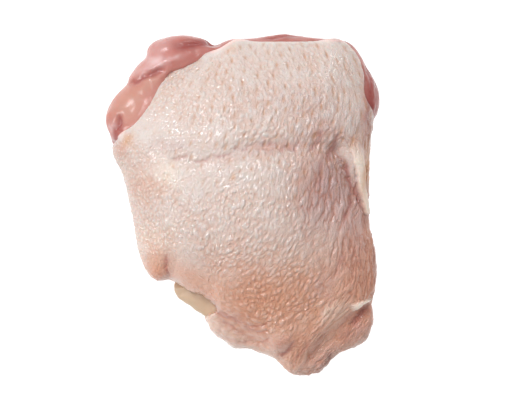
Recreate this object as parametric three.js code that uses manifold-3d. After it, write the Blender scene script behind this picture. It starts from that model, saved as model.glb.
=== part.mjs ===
// A raw chicken thigh with its skin on, lying skin side up on a table.
// Millimetres, +Z up. +Y points from the narrow knee end to the broad cut end, and +X to the right as seen from above.
// The origin is the centre of the space that the thigh takes up, at table height.
//
// The thigh is three solids: the skin, a thin sheet draped over the top and tucked under the sides; the meat, which
// bulges out where the skin was cut short along the broad end; and a pad of fat that shows below the skin's edge.
import * as THREE from 'three';
import { mergeVertices } from 'three/addons/utils/BufferGeometryUtils.js';
import Module from 'manifold-3d';

const wasm = await Module();
wasm.setup();

// ---- Driving sizes ----------------------------------------------------------------------------------------------

const CROWN_HEIGHT = 34;        // the thickest place, above the table
const CROWN_AT = [2, 22];
const KNEE_DROP = 20;           // how much lower the narrow end is than the crown
const KNEE_DISTANCE = 89;       // from the crown to the tip of the narrow end
const CUT_DROP = 5;             // the same for the broad end
const CUT_DISTANCE = 42;
const SIDE_DROP = 7;            // and for the left and right sides
const SIDE_DISTANCE = 52;

const SIDE_SHARE = 0.3;         // the outline lies this far up the side, as a share of the height there
const TOP_FULLNESS = 2.5;       // 2 is an ellipse, and more is squarer
const BASE_FULLNESS = 2.9;
const FLATTENED = 3;            // how much of the rounded base its own weight has pressed flat

const SKIN_THICK = 2.0;
const SKIN_OFF_TABLE = 0.4;
const TUCK = 0.42;              // how far the skin turns under the sides, in quarter turns past the widest line
const FAT_TUCK = 0.1;           // the same over the pad of fat
const GAP = 0.35;               // between neighbouring solids where they show
const HIDDEN_GAP = 1.1;         // and between the skin and the meat under it

// About how large each solid's facets are: where they show, and where they are hidden.
const SKIN_FACETS = { outer: 2.75, under: 4.4, inner: 4.9 };
const MEAT_FACETS = { hidden: 7, side: 3.8, base: 6.4 };

// The skin's outline seen from above, counter-clockwise. Between the left corner and the shoulder it is the cut edge.
const OUTLINE = [
  [-50.2, 22],                                                              // left corner of the cut edge
  [-46.7, 10.5], [-42.8, -7], [-40.9, -18.5], [-36.6, -27.8], [-30.3, -30.8],   // left side and its lobe
  [-19.5, -34], [-12.4, -40], [-12.8, -47.6], [-9.5, -52.2], [-2.6, -56.7],     // edge over the fat, then the hem
  [11.5, -60], [18.3, -65.3], [25, -67.5], [31, -65.6], [37, -59.3],        // tip of the knee end
  [48.2, -54], [51.2, -47], [52.2, -37], [52.5, -21.5], [50, -7],           // right flap and right side
  [48.8, 7], [50.2, 30], [48.6, 48.5],                                      // waist and shoulder
  [44, 61], [40, 63.3], [16.5, 63.8], [-3.5, 63.2], [-10.5, 60.5],          // cut edge along the broad end
  [-17.5, 58.5], [-30, 50.5], [-36, 39.5], [-44, 29.5],
];

// Where the skin stops short of the meat, by angle from the origin in degrees, and how far the meat bulges past it
// there, in millimetres.
const CUT_FROM = 30;
const CUT_TO = 155;
const CUT_BLEND = 8;
const MEAT_REACH = [
  { at: 38, spread: 9.5, reach: 5.2 },    // round the shoulder
  { at: 60, spread: 6, reach: 1.3 },      // three along the broad end
  { at: 76, spread: 9, reach: 3.2 },
  { at: 96, spread: 9, reach: 2.0 },
  { at: 138, spread: 19, reach: 8 },      // behind the muscles at the left corner
];
const FAT_FROM = 226;           // the stretch of edge that lies on the fat
const FAT_TO = 254;
const FAT_BLEND = 4;

// Lines pressed into the skin or raised from it. The height goes from the first number to the second along the path.
const FOLDS = [
  { path: [[-38, 17], [-20.5, 16], [-10.5, 18], [1, 21.5], [16.5, 22.8], [28.5, 22.3], [37, 21.5]],
    width: 3.6, height: [-0.6, -2.2] },                                                 // crease across the middle
  { path: [[38, 21.5], [41, 13], [43.5, 4], [47, -8]], width: 3.2, height: [-2.4, -1.2] },     // tuck at the waist
  { path: [[44, 24], [47, 15], [49, 7], [50.5, -2]], width: 2.8, height: [1.2, 0.7] },  // taut fold beside the tuck
  { path: [[-29, -33], [-28.5, -25], [-26, -14]], width: 3.0, height: [-3.2, -0.4] },   // cleft beside the left lobe
  { path: [[54, -38], [45, -44], [37, -51], [29, -59]], width: 3.2, height: [-1.8, -2.0] },    // right flap's cleft
  { path: [[39, -34], [31, -46], [23, -56], [20, -64]], width: 3.4, height: [1.0, 1.2] },      // fold down to the tip
  { path: [[-50, 19], [-44.5, 22], [-38, 25]], width: 2.8, height: [0.6, 0.3] },        // fold at the left corner
];

// The skin's doubled hem: outside this line the surface lies one fold lower.
const HEM = {
  path: [[-27, -31], [-14.5, -36.5], [-7, -44], [3, -50], [11, -55.5]],
  width: 2.8, drop: 2.2, fadeIn: 0.25, fadeOut: 0.2,
};

// Broad rises and hollows of the whole body: centre, half sizes, turn in degrees and height.
const SWELLS = [
  { at: [36, 6], half: [9, 17], turn: -8, height: -3 },        // hollow beside the waist
  { at: [-12, 36], half: [22, 15], turn: 20, height: 1.4 },    // the upper muscle under the skin
  { at: [4, -12], half: [24, 20], turn: 0, height: 1.6 },      // the lower muscle
  { at: [45, -30], half: [6, 9], turn: 0, height: 1.5 },       // the right flap
];

// Small bumps of the skin alone.
const BUMPS = [
  { at: [16.5, -50.5], half: [6.5, 4], turn: -30, height: 1.8 },
  { at: [46.5, -38], half: [2.6, 2.2], turn: 20, height: 1.4 },   // the small fleck at the right edge
];

// The muscles that stand out past the cut edge at the left corner.
const MUSCLES = [
  { at: [-27.5, 50.4, 9.5], half: [20, 12, 11.5], turn: 33, square: 2.3 },     // upper muscle
  { at: [-26, 59.7, 8.8], half: [11.8, 6.6, 9.4], turn: 6, square: 2.4 },      // the ridge on it
  { at: [-40.4, 37.4, 8.6], half: [15.5, 10.7, 9.8], turn: 44, square: 2.1 },  // the paler, rounder one below it
  { at: [-46.6, 29.4, 5.4], half: [8.4, 5, 6.6], turn: 68, square: 2 },
];

// Soft hollows between the muscles of the underside.
const SEAMS = [
  { path: [[-27, 50], [-14, 30], [-5, 4], [6, -30]], width: 7, height: [3.2, 1.8] },
  { path: [[25, 52], [23, 28], [18, 2], [12, -18]], width: 6.5, height: [2.6, 1.4] },
  { path: [[-36, 12], [-24, 4], [-12, 2]], width: 6, height: [2.2, 1.0] },
];

const FAT = { at: [-15.8, -37.2, 3], half: [17.5, 5.9, 3], turn: -48, bend: 0.004, rings: 12 };

// ---- Colours ----------------------------------------------------------------------------------------------------

const MATERIALS = {
  skin: new THREE.MeshStandardMaterial({ color: 0xdcc0b2, roughness: 0.38, metalness: 0 }),
  meat: new THREE.MeshStandardMaterial({ color: 0xc4837a, roughness: 0.25, metalness: 0 }),
  fat: new THREE.MeshStandardMaterial({ color: 0xd3bda7, roughness: 0.35, metalness: 0 }),
};

// ---- Small helpers ----------------------------------------------------------------------------------------------

const { degToRad, radToDeg, lerp, smoothstep, clamp } = THREE.MathUtils;
const QUARTER = Math.PI / 2;

function smoothLine(points, closed = false) {
  const curve = new THREE.CatmullRomCurve3(points.map(([x, y]) => new THREE.Vector3(x, y, 0)), closed, 'centripetal');
  curve.arcLengthDivisions = 1000;
  return curve;
}

// A path as short straight steps, for measuring how near a place is to it.
const LINE_STEPS = 20;
for (const line of [...FOLDS, ...SEAMS, HEM]) line.steps = smoothLine(line.path).getSpacedPoints(LINE_STEPS);

// How far (x, y) lies from a line, how far along it the nearest place is, and on which side (1 is left of its way).
function nearest(line, x, y) {
  let best = { distance: Infinity, along: 0, side: 1 };
  for (let i = 0; i < LINE_STEPS; i++) {
    const a = line.steps[i];
    const b = line.steps[i + 1];
    const [dx, dy] = [b.x - a.x, b.y - a.y];
    const t = clamp(((x - a.x) * dx + (y - a.y) * dy) / (dx * dx + dy * dy), 0, 1);
    const distance = Math.hypot(x - a.x - t * dx, y - a.y - t * dy);
    if (distance < best.distance) {
      const side = Math.sign(dx * (y - a.y) - dy * (x - a.x)) || 1;
      best = { distance, along: (i + t) / LINE_STEPS, side };
    }
  }
  return best;
}

function foldHeight(fold, x, y, widened = 1) {
  const { distance, along } = nearest(fold, x, y);
  return lerp(fold.height[0], fold.height[1], along) * Math.exp(-((distance / fold.width / widened) ** 2));
}

function swellHeight({ at, half, turn, height }, x, y) {
  const [dx, dy] = [x - at[0], y - at[1]];
  const [c, s] = [Math.cos(degToRad(turn)), Math.sin(degToRad(turn))];
  const along = (dx * c + dy * s) / half[0];
  const across = (dy * c - dx * s) / half[1];
  return height * Math.exp(-(along * along + across * across));
}

// How much lower the surface is outside the hem's line, fading out past the line's two ends. The step comes sooner by
// that many millimetres.
function hemDrop(x, y, sooner = 0) {
  const { distance, along, side } = nearest(HEM, x, y);
  const within = smoothstep(along, 0, HEM.fadeIn) * (1 - smoothstep(along, 1 - HEM.fadeOut, 1));
  return HEM.drop * within * smoothstep(sooner - side * distance, -HEM.width / 2, HEM.width / 2);
}

const sum = (list, value) => list.reduce((total, item) => total + value(item), 0);

// A closed ball made of rings of vertices, with as many in each as counts says: one at the top, one at the bottom, and
// neighbouring rings joined by a band of triangles, whose edges rather run level than up and down. placeOf(around, ring)
// places each vertex, where around runs from 0 to 1 counter-clockwise seen from above.
const LEVEL = 3;
const LEAD = 0.4;               // how far one ring may get ahead of the other, in its own steps, to keep edges level
function ringedBall(counts, placeOf) {
  const rings = counts.map((count, ring) => Array.from({ length: count }, (_, i) => placeOf(i / count, ring)));
  const span = (a, b) => Math.hypot(a.x - b.x, a.y - b.y, LEVEL * (a.z - b.z));
  const starts = counts.map((_, ring) => sum(counts.slice(0, ring), (count) => count));
  const triangles = [];
  for (let ring = 1; ring < counts.length; ring++) {
    const [upper, lower] = [rings[ring - 1], rings[ring]];
    const [lastUpper, lastLower] = [upper, lower].map(({ length }) => (length === 1 ? 0 : length));
    let [i, j] = [0, 0];
    while (i < lastUpper || j < lastLower) {
      const [upperNext, lowerNext] = [(i + 1) % upper.length, (j + 1) % lower.length];
      const lead = ((j + 0.5) / lower.length - (i + 0.5) / upper.length) * Math.min(upper.length, lower.length);
      const level = span(upper[i % upper.length], lower[lowerNext]) < span(upper[upperNext], lower[j % lower.length]);
      const goLower = i === lastUpper || (j < lastLower && (Math.abs(lead) < LEAD ? level : lead < 0));
      const next = goLower ? starts[ring] + lowerNext : starts[ring - 1] + upperNext;
      triangles.push(starts[ring - 1] + (i % upper.length), starts[ring] + (j % lower.length), next);
      if (goLower) j++;
      else i++;
    }
  }
  const ball = new THREE.BufferGeometry();
  ball.setAttribute('position', new THREE.Float32BufferAttribute(rings.flat().flatMap((p) => [p.x, p.y, p.z]), 3));
  ball.setIndex(triangles);
  ball.computeVertexNormals();
  return ball;
}

function solidOf(geometry) {
  const mesh = new wasm.Mesh({
    numProp: 3,
    vertProperties: new Float32Array(geometry.attributes.position.array),
    triVerts: new Uint32Array(geometry.index.array),
  });
  mesh.merge();
  return new wasm.Manifold(mesh);
}

function geometryOf(solid) {
  const { vertProperties, triVerts } = solid.getMesh();
  const geometry = new THREE.BufferGeometry();
  geometry.setAttribute('position', new THREE.BufferAttribute(vertProperties, 3));
  geometry.setIndex(new THREE.BufferAttribute(triVerts, 1));
  geometry.computeVertexNormals();
  return geometry;
}

// ---- The thigh's rounded body -----------------------------------------------------------------------------------

const outline = smoothLine(OUTLINE, true);

// The outline without its smaller bends, for the body inside the edge. Both are reached by the same share of the way
// round, and the body goes from the one to the other between two shares of the way out.
const BROAD_POINTS = 60;
const BROAD_WINDOW = 0.05;
const BROAD_UNTIL = 0.35;
const EDGE_FROM = 0.95;
const WINDOW_STEPS = [-1, -0.75, -0.5, -0.25, 0, 0.25, 0.5, 0.75, 1];
const broadOutline = smoothLine(Array.from({ length: BROAD_POINTS }, (_, i) => {
  const near = WINDOW_STEPS.map((step) => outline.getPointAt((i / BROAD_POINTS + step * BROAD_WINDOW + 1) % 1));
  return [sum(near, (point) => point.x) / near.length, sum(near, (point) => point.y) / near.length];
}), true);

// The height of the uncreased top over the table.
function bodyHeight(x, y) {
  const lengthways = y - CROWN_AT[1];
  const drop = lengthways < 0 ? KNEE_DROP * (lengthways / KNEE_DISTANCE) ** 2
    : CUT_DROP * (lengthways / CUT_DISTANCE) ** 2;
  return CROWN_HEIGHT - drop - SIDE_DROP * ((x - CROWN_AT[0]) / SIDE_DISTANCE) ** 2 +
    sum(SWELLS, (swell) => swellHeight(swell, x, y));
}

const relief = (x, y) =>
  sum(FOLDS, (fold) => foldHeight(fold, x, y)) + sum(BUMPS, (bump) => swellHeight(bump, x, y)) - hemDrop(x, y);

// What the relief comes to on the inner side of the skin: its hollows widened, and its ridges left out.
const WIDENED = 1.5;
const HEM_SOONER = 3;
const reliefBelow = (x, y) =>
  sum(FOLDS, (fold) => Math.min(foldHeight(fold, x, y, WIDENED), 0)) - hemDrop(x, y, HEM_SOONER);

// Straight out from the outline, averaged over a short stretch of it so that sharp corners don't fold over.
const NORMAL_WINDOW = 0.012;
function outwards(around) {
  const normal = new THREE.Vector3();
  for (const step of WINDOW_STEPS) {
    const along = outline.getTangentAt((around + step * NORMAL_WINDOW + 1) % 1);
    normal.add(new THREE.Vector3(along.y, -along.x, 0));
  }
  return normal.normalize();
}

const angleOf = (point) => (radToDeg(Math.atan2(point.y, point.x)) + 360) % 360;

// 1 between two angles and 0 outside them, with a soft step at either end.
const between = (angle, from, to, blend) =>
  smoothstep(angle, from - blend, from + blend) * (1 - smoothstep(angle, to - blend, to + blend));

// 1 where the skin ends on top of the meat, 0 where it turns under the side.
const cutShort = (angle) => between(angle, CUT_FROM, CUT_TO, CUT_BLEND);
const onFat = (angle) => between(angle, FAT_FROM, FAT_TO, FAT_BLEND);

const meatReach = (angle) =>
  cutShort(angle) * sum(MEAT_REACH, ({ at, spread, reach }) => reach * Math.exp(-(((angle - at) / spread) ** 2)));

// How far out and up a section of the body reaches, as shares of its half width and of its height above or below the
// widest line. turn is 0 at the crown, 1 at the widest line and 2 under the middle.
const outShare = (turn) =>
  Math.abs(Math.sin(turn * QUARTER)) ** (2 / (turn < 1 ? TOP_FULLNESS : BASE_FULLNESS));
const upShare = (turn) =>
  Math.abs(Math.cos(turn * QUARTER)) ** (2 / (turn < 1 ? TOP_FULLNESS : BASE_FULLNESS));

// A place on the body without its relief, or on a copy of it that lies inset millimetres inside.
function plainPlace(around, turn, inset) {
  const edge = outline.getPointAt(around);
  const out = outShare(turn);
  const reach = edge.clone().setLength(edge.length() + meatReach(angleOf(edge)));
  reach.lerp(broadOutline.getPoint(around), 1 - smoothstep(out, BROAD_UNTIL, EDGE_FROM));
  const widest = SIDE_SHARE * bodyHeight(reach.x, reach.y);
  const place = reach.addScaledVector(outwards(around), -inset).multiplyScalar(out);
  const rise = turn < 1 ? bodyHeight(place.x, place.y) - inset - widest : inset - widest - FLATTENED;
  place.z = widest + rise * upShare(turn);
  return place;
}

// The same with the skin's relief, which moves it along its own normal and fades out under the side.
const RELIEF_ENDS = 1.25;
function creasedPlace(around, turn, inset, reliefOf = relief) {
  const outer = plainPlace(around, turn, 0);
  const out = outShare(turn) ** (TOP_FULLNESS - 1);
  const up = turn < 1 ? upShare(turn) ** (TOP_FULLNESS - 1) : 0;
  const normal = outwards(around).multiplyScalar(out / outline.getPointAt(around).length());
  normal.z = up / CROWN_HEIGHT;
  const shown = 1 - smoothstep(turn, 1, RELIEF_ENDS);
  return plainPlace(around, turn, inset).addScaledVector(normal.normalize(), reliefOf(outer.x, outer.y) * shown);
}

// How far it is from the crown down the side of a typical section to each turn, and the turn at each such length.
const TYPICAL_REACH = 60;
const SECTION_STEPS = 300;
const turnOf = (step) => (2 * step) / SECTION_STEPS;
const sectionPoint = (turn) => new THREE.Vector2(
  outShare(turn) * TYPICAL_REACH,
  upShare(turn) * CROWN_HEIGHT * (turn < 1 ? 1 - SIDE_SHARE : -SIDE_SHARE),
);
const sectionLengths = [0];
for (let step = 1; step <= SECTION_STEPS; step++) {
  const walked = sectionPoint(turnOf(step)).distanceTo(sectionPoint(turnOf(step - 1)));
  sectionLengths.push(sectionLengths[step - 1] + walked);
}

function lengthTo(turn) {
  const step = Math.min(Math.floor((turn * SECTION_STEPS) / 2), SECTION_STEPS - 1);
  return lerp(sectionLengths[step], sectionLengths[step + 1], (turn * SECTION_STEPS) / 2 - step);
}

function turnAt(length) {
  let step = 1;
  while (step < SECTION_STEPS && sectionLengths[step] < length) step++;
  const [before, after] = [sectionLengths[step - 1], sectionLengths[step]];
  return Math.min(turnOf(step - 1 + (length - before) / (after - before)), 2);
}

// Rings at even distances down the section, in stretches that each have their own size of facet: the length down to each
// ring, and how many vertices it has.
function ringsDown(stretches) {
  const rings = [{ length: 0, count: 1 }];
  let from = 0;
  for (const { to, size } of stretches) {
    const steps = Math.ceil((lengthTo(to) - from) / size);
    for (let i = 1; i <= steps; i++) {
      const length = lerp(from, lengthTo(to), i / steps);
      const sixths = Math.round((outShare(turnAt(length)) * TYPICAL_REACH) / size);
      rings.push({ length, count: 6 * Math.max(sixths, 1) });
    }
    from = lengthTo(to);
  }
  return rings;
}

// ---- Skin -------------------------------------------------------------------------------------------------------

const UNDER = 1.08;             // past this turn the skin is out of sight under the side
const MOST_SHARE = 0.985;       // the cut edge stays a little above the widest line
const ROUNDED_EDGE = 0.6;       // how far the middle of the skin's edge stands out past its two faces

// Where the skin ends: past the widest line where it is tucked under, and above it where it was cut short.
function skinEnd(around) {
  const edge = outline.getPointAt(around);
  const angle = angleOf(edge);
  const share = edge.length() / (edge.length() + meatReach(angle));
  const cut = Math.asin(Math.min(share ** (TOP_FULLNESS / 2), MOST_SHARE)) / QUARTER;
  const tucked = 1 + lerp(TUCK, FAT_TUCK, onFat(angle));
  return lerp(tucked, cut, cutShort(angle));
}

// The skin's outer face down to its edge, round the edge, and back up the inner face. The room that the skin needs is
// the same sheet grown by GAP, and by twice that out of sight, and lifted far enough outside to clear whatever would
// stand through it.
const outerRings = ringsDown([{ to: UNDER, size: SKIN_FACETS.outer }, { to: 1 + TUCK, size: SKIN_FACETS.under }]);
const innerRings = ringsDown([{ to: 1 + TUCK, size: SKIN_FACETS.inner }]).reverse();
const [edgeRing] = outerRings.slice(-1);
const SKIN_RINGS = [...outerRings, edgeRing, edgeRing, ...innerRings.slice(1)];

function skinSheet(grow = 0, lift = 0) {
  return ringedBall(SKIN_RINGS.map(({ count }) => count), (around, ring) => {
    const atRim = ring === outerRings.length;
    const outside = ring < outerRings.length;
    const whole = lengthTo(skinEnd(around)) + grow;
    const turn = turnAt(whole * (SKIN_RINGS[ring].length / lengthTo(1 + TUCK)) + (atRim ? ROUNDED_EDGE : 0));
    const deeper = ring > outerRings.length + 1 ? 2 : 1;
    const inset = outside ? -lift : atRim ? (SKIN_THICK + grow) / 2 : SKIN_THICK + deeper * grow;
    const place = creasedPlace(around, turn, inset, outside || atRim ? relief : reliefBelow);
    place.z = Math.max(place.z, SKIN_OFF_TABLE + inset);
    return place;
  });
}

// ---- Fat and meat -----------------------------------------------------------------------------------------------

// A rounded lump, squarer than an ellipsoid where square is over 2, and bent sideways by bend.
const SIXTHS_PER_RING = 0.45;   // sets how many vertices a lump has round it, for its count of rings
function lump({ at, half, turn, square = 2, bend = 0, rings = 9 }, grow = 0) {
  const polarOf = (ring) => (ring / rings) * 2 * QUARTER;
  const counts = Array.from({ length: rings + 1 }, (_, ring) => {
    const sixths = Math.round(SIXTHS_PER_RING * rings * Math.sin(polarOf(ring)));
    return ring % rings === 0 ? 1 : 6 * Math.max(sixths, 1);
  });
  const geometry = ringedBall(counts, (around, ring) => {
    const rounded = (value) => Math.sign(value) * Math.abs(value) ** (2 / square);
    const out = rounded(Math.sin(polarOf(ring)));
    const x = (half[0] + grow) * rounded(Math.cos(around * 4 * QUARTER)) * out;
    const y = (half[1] + grow) * rounded(Math.sin(around * 4 * QUARTER)) * out + bend * x * x;
    return new THREE.Vector3(x, y, (half[2] + grow) * rounded(Math.cos(polarOf(ring))));
  });
  return geometry.rotateZ(degToRad(turn)).translate(...at);
}

// The body inside the skin, flattened where it rests. Round the skin's edge it swells out as far as the skin's own face,
// from a little before the edge to a little past it, in millimetres.
const SWELLING = [-2, 4];
const HIDDEN_UNTIL = 0.55;          // turns between which the meat's facets change size
const SIDE_UNTIL = 1.5;
const meatRings = ringsDown([
  { to: HIDDEN_UNTIL, size: MEAT_FACETS.hidden },
  { to: SIDE_UNTIL, size: MEAT_FACETS.side },
  { to: 2, size: MEAT_FACETS.base },
]);
meatRings.at(-1).count = 1;

const SEAMS_BEGIN = [1.4, 1.7];     // turns between which the seams of the underside set in
const SEAM_BRINK = 0.25;            // a seam shallower than this is left flat
const seamHeight = (x, y) => Math.max(sum(SEAMS, (seam) => foldHeight(seam, x, y)) - SEAM_BRINK, 0);

function meatBody() {
  return ringedBall(meatRings.map(({ count }) => count), (around, ring) => {
    const { length } = meatRings[ring];
    const end = skinEnd(around);
    const past = length - lengthTo(end);
    const shown = smoothstep(past, ...SWELLING);
    const inset = lerp(SKIN_THICK + HIDDEN_GAP, 0, shown);
    const place = creasedPlace(around, turnAt(length), inset, (x, y) => reliefBelow(x, y) * (1 - shown));
    const beneath = shown * smoothstep(turnAt(length), ...SEAMS_BEGIN);
    place.z = Math.max(place.z, 0) + beneath * seamHeight(place.x, place.y);
    return place;
  });
}

const HALF_TABLE = 100;
const table = solidOf(mergeVertices(new THREE.BoxGeometry(2 * HALF_TABLE, 2 * HALF_TABLE, CROWN_HEIGHT)
  .translate(0, 0, -CROWN_HEIGHT / 2).deleteAttribute('normal').deleteAttribute('uv')));

const LIFT = 5;                     // how far outside the skin its room reaches
const skinRoom = solidOf(skinSheet(GAP, LIFT));

const skinSolid = solidOf(skinSheet());
const fatSolid = solidOf(lump(FAT)).subtract(solidOf(skinSheet(GAP, GAP))).subtract(table);
const bulges = MUSCLES.reduce((all, muscle) => all.add(solidOf(lump(muscle))), solidOf(meatBody()));
const meatSolid = bulges.subtract(skinRoom).subtract(solidOf(lump(FAT, GAP))).subtract(table);

// Cutting can leave loose scraps, so only the largest body of each is kept.
const largest = (solid) => solid.decompose().reduce((a, b) => (a.volume() > b.volume() ? a : b));

// ---- The whole thigh --------------------------------------------------------------------------------------------

const solids = Object.entries({ skin: skinSolid, meat: meatSolid, fat: fatSolid })
  .map(([name, solid]) => ({ name, solid: largest(solid) }));
const boxes = solids.map(({ solid }) => solid.boundingBox());
const low = (axis) => Math.min(...boxes.map(({ min }) => min[axis]));
const high = (axis) => Math.max(...boxes.map(({ max }) => max[axis]));
const toOrigin = [-(low(0) + high(0)) / 2, -(low(1) + high(1)) / 2, -low(2)];

const thigh = new THREE.Group();
for (const { name, solid } of solids) {
  const mesh = new THREE.Mesh(geometryOf(solid.translate(toOrigin)), MATERIALS[name]);
  mesh.name = name;
  thigh.add(mesh);
}

export default thigh;
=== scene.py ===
"""A raw chicken thigh with its skin on, lying skin side up on a pale floor, seen from straight above."""

import math

import bpy
import numpy as np
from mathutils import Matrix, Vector, noise
from mathutils.bvhtree import BVHTree
from mathutils.kdtree import KDTree


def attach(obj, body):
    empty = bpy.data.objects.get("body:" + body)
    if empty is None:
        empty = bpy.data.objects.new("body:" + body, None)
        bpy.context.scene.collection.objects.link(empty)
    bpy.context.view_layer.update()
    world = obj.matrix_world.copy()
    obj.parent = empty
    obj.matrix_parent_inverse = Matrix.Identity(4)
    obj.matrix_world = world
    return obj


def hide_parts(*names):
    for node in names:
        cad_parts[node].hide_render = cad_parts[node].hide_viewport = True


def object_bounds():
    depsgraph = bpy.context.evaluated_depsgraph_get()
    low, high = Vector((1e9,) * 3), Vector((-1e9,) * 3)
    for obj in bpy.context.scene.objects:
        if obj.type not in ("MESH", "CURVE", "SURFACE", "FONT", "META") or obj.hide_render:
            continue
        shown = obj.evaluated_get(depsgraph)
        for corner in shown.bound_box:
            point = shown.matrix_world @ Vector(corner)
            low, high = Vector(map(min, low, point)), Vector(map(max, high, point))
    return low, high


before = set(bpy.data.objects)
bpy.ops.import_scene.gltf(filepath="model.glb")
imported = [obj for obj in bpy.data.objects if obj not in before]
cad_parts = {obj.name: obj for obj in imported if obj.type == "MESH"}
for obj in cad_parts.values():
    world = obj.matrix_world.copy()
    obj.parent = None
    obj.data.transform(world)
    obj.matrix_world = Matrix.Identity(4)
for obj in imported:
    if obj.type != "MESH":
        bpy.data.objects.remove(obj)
cad_low, cad_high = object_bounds()

MM = 0.001
# No piece comes nearer to the floor than this (mm).
FLOOR_GAP = 0.1

# Places on the thigh are given as pixels of the 512 x 400 photograph, which looks straight down on it.
PIXEL = 0.39
MIDDLE_PIXEL = (242.8, 205.25)
FRAME_PIXELS = (512, 400)

# ------------------------ how the skin's grain runs
# Each row: pixel, the way its cells run (degrees from +X), how long they are for their width,
# their width and their height (mm).
GRAIN = [
    (190, 72, 60, 1.5, 1.2, 0.18),
    (240, 68, 98, 1.6, 1.4, 0.15),
    (290, 70, 100, 1.9, 1.6, 0.16),
    (338, 70, 108, 2.8, 1.8, 0.16),
    (362, 95, 95, 2.4, 2.2, 0.12),
    (165, 100, 50, 1.5, 1.35, 0.22),
    (210, 105, 92, 1.7, 1.5, 0.21),
    (250, 108, 85, 1.7, 1.6, 0.21),
    (290, 108, 78, 2.0, 1.7, 0.21),
    (335, 112, 82, 3.0, 1.9, 0.20),
    (150, 128, 35, 1.05, 1.2, 0.09),
    (178, 142, 58, 1.05, 1.3, 0.12),
    (215, 138, 70, 1.3, 1.6, 0.15),
    (265, 138, 55, 1.4, 2.0, 0.20),
    (318, 142, 75, 2.6, 1.9, 0.24),
    (358, 138, 76, 4.0, 2.1, 0.20),
    (130, 158, 70, 1.5, 1.2, 0.23),
    (190, 176, 70, 1.2, 1.3, 0.11),
    (235, 170, 50, 1.3, 1.4, 0.13),
    (288, 165, 75, 2.1, 1.7, 0.19),
    (336, 176, 82, 5.0, 2.2, 0.28),
    (150, 195, 90, 1.5, 1.35, 0.25),
    (225, 204, 76, 1.9, 1.7, 0.20),
    (275, 200, 80, 1.9, 1.7, 0.18),
    (318, 202, 73, 4.2, 2.2, 0.27),
    (356, 218, 84, 6.0, 2.1, 0.28),
    (160, 232, 94, 1.7, 1.4, 0.26),
    (215, 234, 74, 1.9, 1.7, 0.21),
    (265, 236, 60, 1.9, 1.7, 0.21),
    (315, 240, 61, 2.8, 1.9, 0.25),
    (345, 258, 70, 4.4, 2.3, 0.28),
    (150, 262, 90, 1.4, 1.2, 0.13),
    (185, 272, 140, 1.2, 1.4, 0.10),
    (235, 262, 50, 1.7, 1.6, 0.26),
    (290, 268, 58, 1.8, 1.7, 0.24),
    (335, 285, 62, 3.0, 2.2, 0.23),
    (370, 275, 86, 3.6, 2.2, 0.24),
    (218, 292, 120, 1.2, 1.7, 0.16),
    (260, 300, 84, 1.3, 1.8, 0.32),
    (305, 305, 62, 1.6, 1.8, 0.30),
    (232, 322, 150, 2.2, 1.8, 0.16),
    (270, 322, 54, 1.5, 1.8, 0.30),
    (306, 332, 56, 2.8, 2.0, 0.26),
    (255, 342, 150, 3.0, 2.0, 0.18),
    (305, 356, 54, 5.0, 2.0, 0.22),
    (345, 318, 52, 5.0, 2.6, 0.18),
    (281, 343, 50, 1.3, 1.8, 0.04),
    (360, 335, 45, 3.5, 2.6, 0.12),
]
# How soon one row gives way to the next (mm), and how round a cell is that has no way of its own.
GRAIN_REACH = 4.0
ROUND_CELL = 0.8
# Noise shifts each place before it reads the rows: how far (mm), size (mm) and a seed for each direction.
GRAIN_SHIFTS = [(0.5, 3.0, (1, 2, 3)), (1.2, 8.0, (14, 15, 16))]
# Patches where it stands taller and lower: by how much, their size (mm) and seed.
GRAIN_PATCHES = [(0.4, 9.0, 5)]
# The skin's slow unevenness: height (mm), size (mm) and seed.
SKIN_LUMPS = [(0.10, 6.0, 6)]
# The seed of the draws that scatter the beads and the pores.
DRAW_SEED = 11

# Beads, one in each cell. How far apart, counted in cells, and how much that varies.
PEBBLE_SPACING = 0.95
SPACING_VARIES = (0.7, 1.15)
# How far a bead is turned from the grain (radians), how far it reaches (cells) and the range of its sizes.
PEBBLE_TURN = 0.25
PEBBLE_REACH = 1.5
PEBBLE_WIDE, PEBBLE_LONG, PEBBLE_TALL = (0.32, 0.55), (0.75, 1.2), (0.55, 1.0)
# A bead is never longer than this for its width.
BEAD_STRETCH = 2.2
# Smaller beads lie over the first ones, at this share of their size.
FINE_SIZE = 0.55

# Long wavy wrinkles take over from the beads where cells are longer than these for their width.
LONG_FROM, LONG_TO = 2.1, 3.6
# They run two ways (degrees, with a seed for each), which blend from this far inside both, at this size (mm).
WRINKLE_WAYS = (54, 80)
WRINKLE_SEEDS = (0.3, 5.7)
WRINKLE_BLEND = 10
WRINKLE_LONG, WRINKLE_WIDE = 9.0, 2.8
WRINKLE_SHIFTS = [(0.7, 5.0, (17, 18))]
# How round their tops are and how narrow their creases, as shares of the noise's height.
WRINKLE_ROUND, WRINKLE_CREASE = 0.32, 0.09

# How far each layer of grain rises, and how much of that lies below the skin, for a grain one high.
COARSE_RISE, COARSE_SUNK = 2.6, 1.3
FINE_RISE, FINE_SUNK = 1.4, 0.7
RIDGE_RISE, RIDGE_SUNK = 2.8, 1.5
# How much of the beads, of the fine ones and of the valleys between them the long wrinkles take away.
COARSE_LOST, FINE_LOST, VALLEY_LOST = 0.6, 0.5, 0.7
# A valley is where the beads are lower than the first pair and the grain is taller than the second (mm).
VALLEY_BEADS, VALLEY_GRAIN = (0.15, 0.7), (0.05, 0.25)
# How far a crease counts as a valley, how red it is, and the grain's height where it reddens (mm).
CREASE_VALLEY, CREASE_RED, CREASE_GRAIN = 0.9, 0.6, (0.1, 0.3)

# Feather pores: how far apart they are, how far one reaches and how deep it is (mm).
PORE_SPACING = 4.6
PORE_REACH = 3.0
PORE_DEPTH = 0.32
# The ranges of a pore's length and width (mm) and of its depth as a share.
PORE_LONG, PORE_WIDE, PORE_DEEP = (0.7, 1.4), (0.42, 0.62), (0.45, 1.0)
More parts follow.
